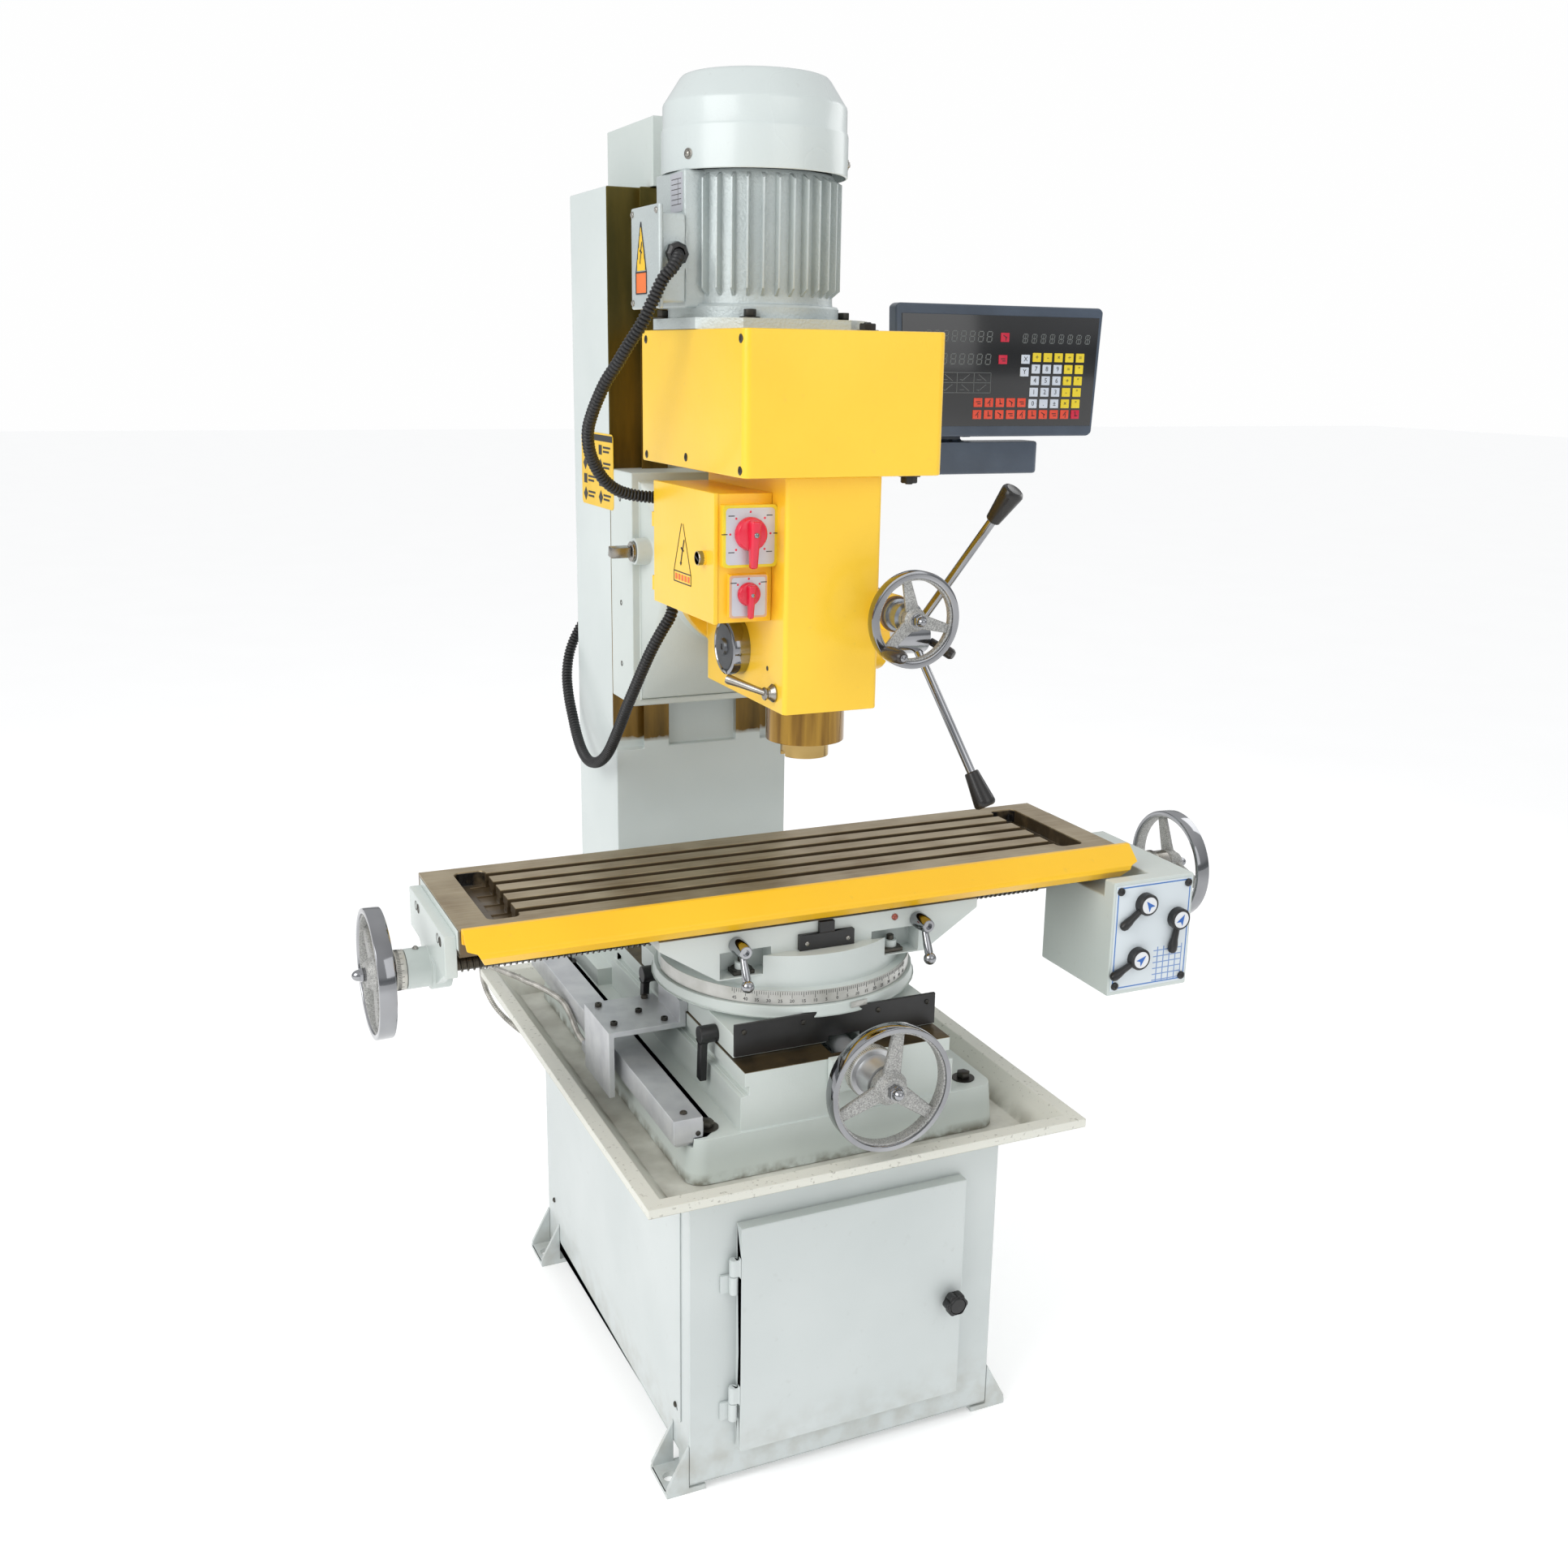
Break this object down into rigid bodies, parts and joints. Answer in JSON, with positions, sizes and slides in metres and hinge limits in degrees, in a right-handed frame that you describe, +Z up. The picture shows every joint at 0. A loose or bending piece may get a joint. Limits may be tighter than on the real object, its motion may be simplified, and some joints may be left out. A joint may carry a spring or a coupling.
{
  "type": "benchtop milling machine",
  "caption": "Vertical drill-mill: dovetail column, geared head with quill, swivelling cross-slide T-slot table with handwheels, chip tray and cabinet stand.",
  "frame": {"origin": "centre of the four floor bolt holes, on the floor plane", "axes": "+X right along the table, +Y back toward the column, +Z up"},
  "size_m": [1.29, 0.9055, 1.811],
  "materials": {
    "enamel": "pale grey-green machine enamel, semi-gloss",
    "stand_paint": "light grey enamel on folded sheet",
    "tray_paint": "off-white enamel, oily inside",
    "yellow_paint": "bright yellow enamel with a fine orange-peel surface",
    "ground_iron": "ground cast iron under a film of brown oil",
    "chrome": "polished rim and bars",
    "steel": "turned and ground steel",
    "dark_steel": "black oiled leadscrew steel",
    "motor_silver": "silver-grey paint over a rough casting",
    "fan_grey": "smooth pale grey enamel on pressed sheet",
    "black_plastic": "black moulded plastic",
    "black_rubber": "black wiper rubber",
    "red_plastic": "glossy red moulding",
    "dro_plastic": "dark blue-grey powder coat",
    "aluminium": "plain anodised aluminium",
    "scale_silver": "engraved bright strip",
    "armour": "stainless spiral armour"
  },
  "bodies": {
    "stand": {"stand_cabinet": "stand_paint", "stand_feet": "stand_paint", "side_panels": "stand_paint", "chip_tray": "tray_paint", "base_casting": "enamel", "column": "enamel", "column_cap": "enamel", "dro_arm": "dro_plastic", "y_bearing": "enamel", "y_scale": "aluminium", "column_conduit": "black_plastic", "scale_cable": "armour", "door_hinges": "stand_paint"},
    "stand_door": {"cabinet_door": "stand_paint"},
    "door_latch": {"door_knob": "black_plastic"},
    "saddle_body": {"saddle": "enamel", "wiper_plate": "black_rubber", "scale_bracket": "aluminium"},
    "saddle_lever_rear": {"saddle_clamp_a": "black_plastic"},
    "saddle_lever_front": {"saddle_clamp_b": "black_plastic"},
    "swivel": {"upper_saddle": "enamel", "degree_ring": "scale_silver", "stop_bracket": "dark_steel"},
    "table_lever_left": {"table_lock_a": "chrome"},
    "table_lever_right": {"table_lock_b": "chrome"},
    "table_body": {"table": "ground_iron", "table_guard": "yellow_paint", "left_bracket": "enamel", "feed_box": "enamel"},
    "feed_lever_a": {"feed_knob_a": "black_plastic"},
    "feed_lever_b": {"feed_knob_b": "black_plastic"},
    "feed_lever_c": {"feed_knob_c": "black_plastic"},
    "x_leadscrew": {"x_screw": "dark_steel", "x_wheel_left": "chrome", "x_wheel_right": "chrome"},
    "y_leadscrew": {"y_screw": "dark_steel", "y_wheel": "chrome"},
    "head": {"z_carriage": "enamel", "head_lower": "yellow_paint", "head_box": "yellow_paint", "elec_box": "yellow_paint", "motor_body": "motor_silver", "fan_cover": "fan_grey", "terminal_box": "fan_grey", "motor_conduit": "black_plastic", "spring_drum": "chrome", "feed_housing": "yellow_paint"},
    "elec_cover": {"elec_door": "yellow_paint"},
    "switch_upper": {"switch_main": "red_plastic"},
    "switch_lower": {"switch_aux": "red_plastic"},
    "quill_body": {"quill": "steel"},
    "spindle_body": {"spindle": "steel"},
    "coarse_feed": {"star_handle": "chrome"},
    "fine_feed": {"fine_wheel": "chrome"},
    "quill_clamp": {"quill_lock": "steel"},
    "z_handle_shaft": {"z_crank": "steel"},
    "readout": {"dro_display": "dro_plastic"}
  },
  "joints": [
    {"name": "door_hinge", "type": "hinge", "parent": "stand", "child": "stand_door", "pos_m": [-0.171, -0.345, 0.225], "axis": [0, 0, 1], "range_deg": [-115, 0]},
    {"name": "door_knob_turn", "type": "hinge", "parent": "stand_door", "child": "door_latch", "pos_m": [0.15, -0.362, 0.213], "axis": [0, 1, 0], "range_deg": [0, 90]},
    {"name": "y_slide", "type": "slide", "parent": "stand", "child": "saddle_body", "axis": [0, 1, 0], "range_m": [-0.035, 0.072], "deforming": ["scale_cable"]},
    {"name": "saddle_clamp_rear", "type": "hinge", "parent": "saddle_body", "child": "saddle_lever_rear", "pos_m": [-0.166, 0.008, 0.606], "axis": [1, 0, 0], "range_deg": [-5, 30]},
    {"name": "saddle_clamp_front", "type": "hinge", "parent": "saddle_body", "child": "saddle_lever_front", "pos_m": [-0.166, -0.221, 0.606], "axis": [1, 0, 0], "range_deg": [-22, 20]},
    {"name": "table_swivel", "type": "hinge", "parent": "saddle_body", "child": "swivel", "pos_m": [0, -0.105, 0.65], "axis": [0, 0, 1], "range_deg": [-30, 30]},
    {"name": "table_lock_left", "type": "hinge", "parent": "swivel", "child": "table_lever_left", "pos_m": [-0.128, -0.268, 0.734], "axis": [0, 1, 0], "range_deg": [-40, 40]},
    {"name": "table_lock_right", "type": "hinge", "parent": "swivel", "child": "table_lever_right", "pos_m": [0.138, -0.268, 0.734], "axis": [0, 1, 0], "range_deg": [-40, 40]},
    {"name": "x_slide", "type": "slide", "parent": "swivel", "child": "table_body", "axis": [1, 0, 0], "range_m": [-0.15, 0.15]},
    {"name": "feed_lever_a_turn", "type": "hinge", "parent": "table_body", "child": "feed_lever_a", "pos_m": [0.476, -0.301, 0.73], "axis": [0, 1, 0], "range_deg": [-60, 0]},
    {"name": "feed_lever_b_turn", "type": "hinge", "parent": "table_body", "child": "feed_lever_b", "pos_m": [0.534, -0.301, 0.701], "axis": [0, 1, 0], "range_deg": [-60, 0]},
    {"name": "feed_lever_c_turn", "type": "hinge", "parent": "table_body", "child": "feed_lever_c", "pos_m": [0.469, -0.301, 0.649], "axis": [0, 1, 0], "range_deg": [-60, 0]},
    {"name": "x_handwheels_turn", "type": "hinge", "parent": "table_body", "child": "x_leadscrew", "pos_m": [0, -0.107, 0.71], "axis": [1, 0, 0], "continuous": true},
    {"name": "y_handwheel_turn", "type": "hinge", "parent": "stand", "child": "y_leadscrew", "pos_m": [0.011, -0.4, 0.584], "axis": [0, 1, 0], "continuous": true},
    {"name": "z_slide", "type": "slide", "parent": "stand", "child": "head", "axis": [0, 0, 1], "range_m": [-0.04, 0.12], "deforming": ["column_conduit"]},
    {"name": "elec_cover_hinge", "type": "hinge", "parent": "head", "child": "elec_cover", "pos_m": [-0.142, 0.022, 1.227], "axis": [0, 0, 1], "range_deg": [-85, 0]},
    {"name": "switch_upper_turn", "type": "hinge", "parent": "head", "child": "switch_upper", "pos_m": [-0.102, -0.224, 1.259], "axis": [0, 1, 0], "range_deg": [-40, 90]},
    {"name": "switch_lower_turn", "type": "hinge", "parent": "head", "child": "switch_lower", "pos_m": [-0.102, -0.22, 1.184], "axis": [0, 1, 0], "range_deg": [-45, 45]},
    {"name": "quill_slide", "type": "slide", "parent": "head", "child": "quill_body", "axis": [0, 0, -1], "range_m": [0, 0.12], "stiffness_N_per_m": 600, "springref_m": -0.42},
    {"name": "spindle_turn", "type": "hinge", "parent": "quill_body", "child": "spindle_body", "pos_m": [0, -0.165, 0.97], "axis": [0, 0, 1], "continuous": true},
    {"name": "coarse_feed_turn", "type": "hinge", "parent": "head", "child": "coarse_feed", "pos_m": [0.193, -0.097, 1.098], "axis": [1, 0, 0], "range_deg": [-345, 0]},
    {"name": "fine_feed_turn", "type": "hinge", "parent": "head", "child": "fine_feed", "pos_m": [0.078, -0.31, 1.158], "axis": [0, 1, 0], "continuous": true},
    {"name": "quill_clamp_turn", "type": "hinge", "parent": "head", "child": "quill_clamp", "pos_m": [-0.076, -0.212, 1.056], "axis": [1, 0, 0], "range_deg": [-25, 25]},
    {"name": "z_crank_turn", "type": "hinge", "parent": "head", "child": "z_handle_shaft", "pos_m": [-0.15, 0.11, 1.202], "axis": [1, 0, 0], "continuous": true},
    {"name": "readout_tilt", "type": "hinge", "parent": "stand", "child": "readout", "pos_m": [0.4, 0.183, 1.363], "axis": [1, 0, 0], "range_deg": [-4, 12]}
  ],
  "couplings": [
    {"joint": "coarse_feed_turn", "follows": "quill_slide", "rad_per_m": -50}
  ]
}
